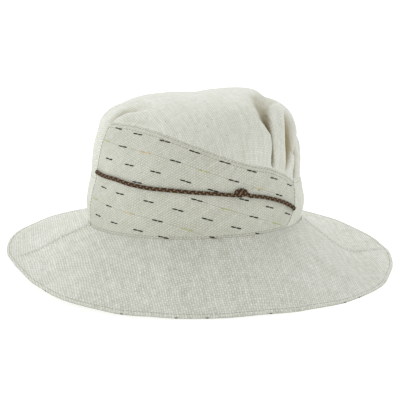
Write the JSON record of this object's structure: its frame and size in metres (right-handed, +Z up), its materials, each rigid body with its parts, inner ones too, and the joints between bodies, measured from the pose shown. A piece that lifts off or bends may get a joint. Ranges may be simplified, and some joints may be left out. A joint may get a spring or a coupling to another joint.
{
  "type": "wide-brim hat",
  "caption": "Soft cloth sun hat with a wide drooping brim, a sloping dashed front panel, gathered crown folds and a knotted braided cord.",
  "frame": {"origin": "centre of the brim, on the surface that the hat rests on", "axes": "+Z up out of the crown's tip, -Y towards the front of the hat, +X towards the wearer's left"},
  "size_m": [0.3146, 0.3286, 0.1385],
  "materials": {
    "plain_cloth": "matt slubby linen weave with fine ribs",
    "dashed_cloth": "matt fine weave with short floating thread dashes",
    "braid": "matt braided cotton in dark and mid brown"
  },
  "bodies": {
    "root": {"crown_top": "plain_cloth", "front_panel": "dashed_cloth", "back_band": "plain_cloth", "brim_front": "plain_cloth", "brim_back": "plain_cloth", "underbrim": "dashed_cloth", "braided_cord": "braid", "cord_knot": "braid"}
  },
  "joints": []
}
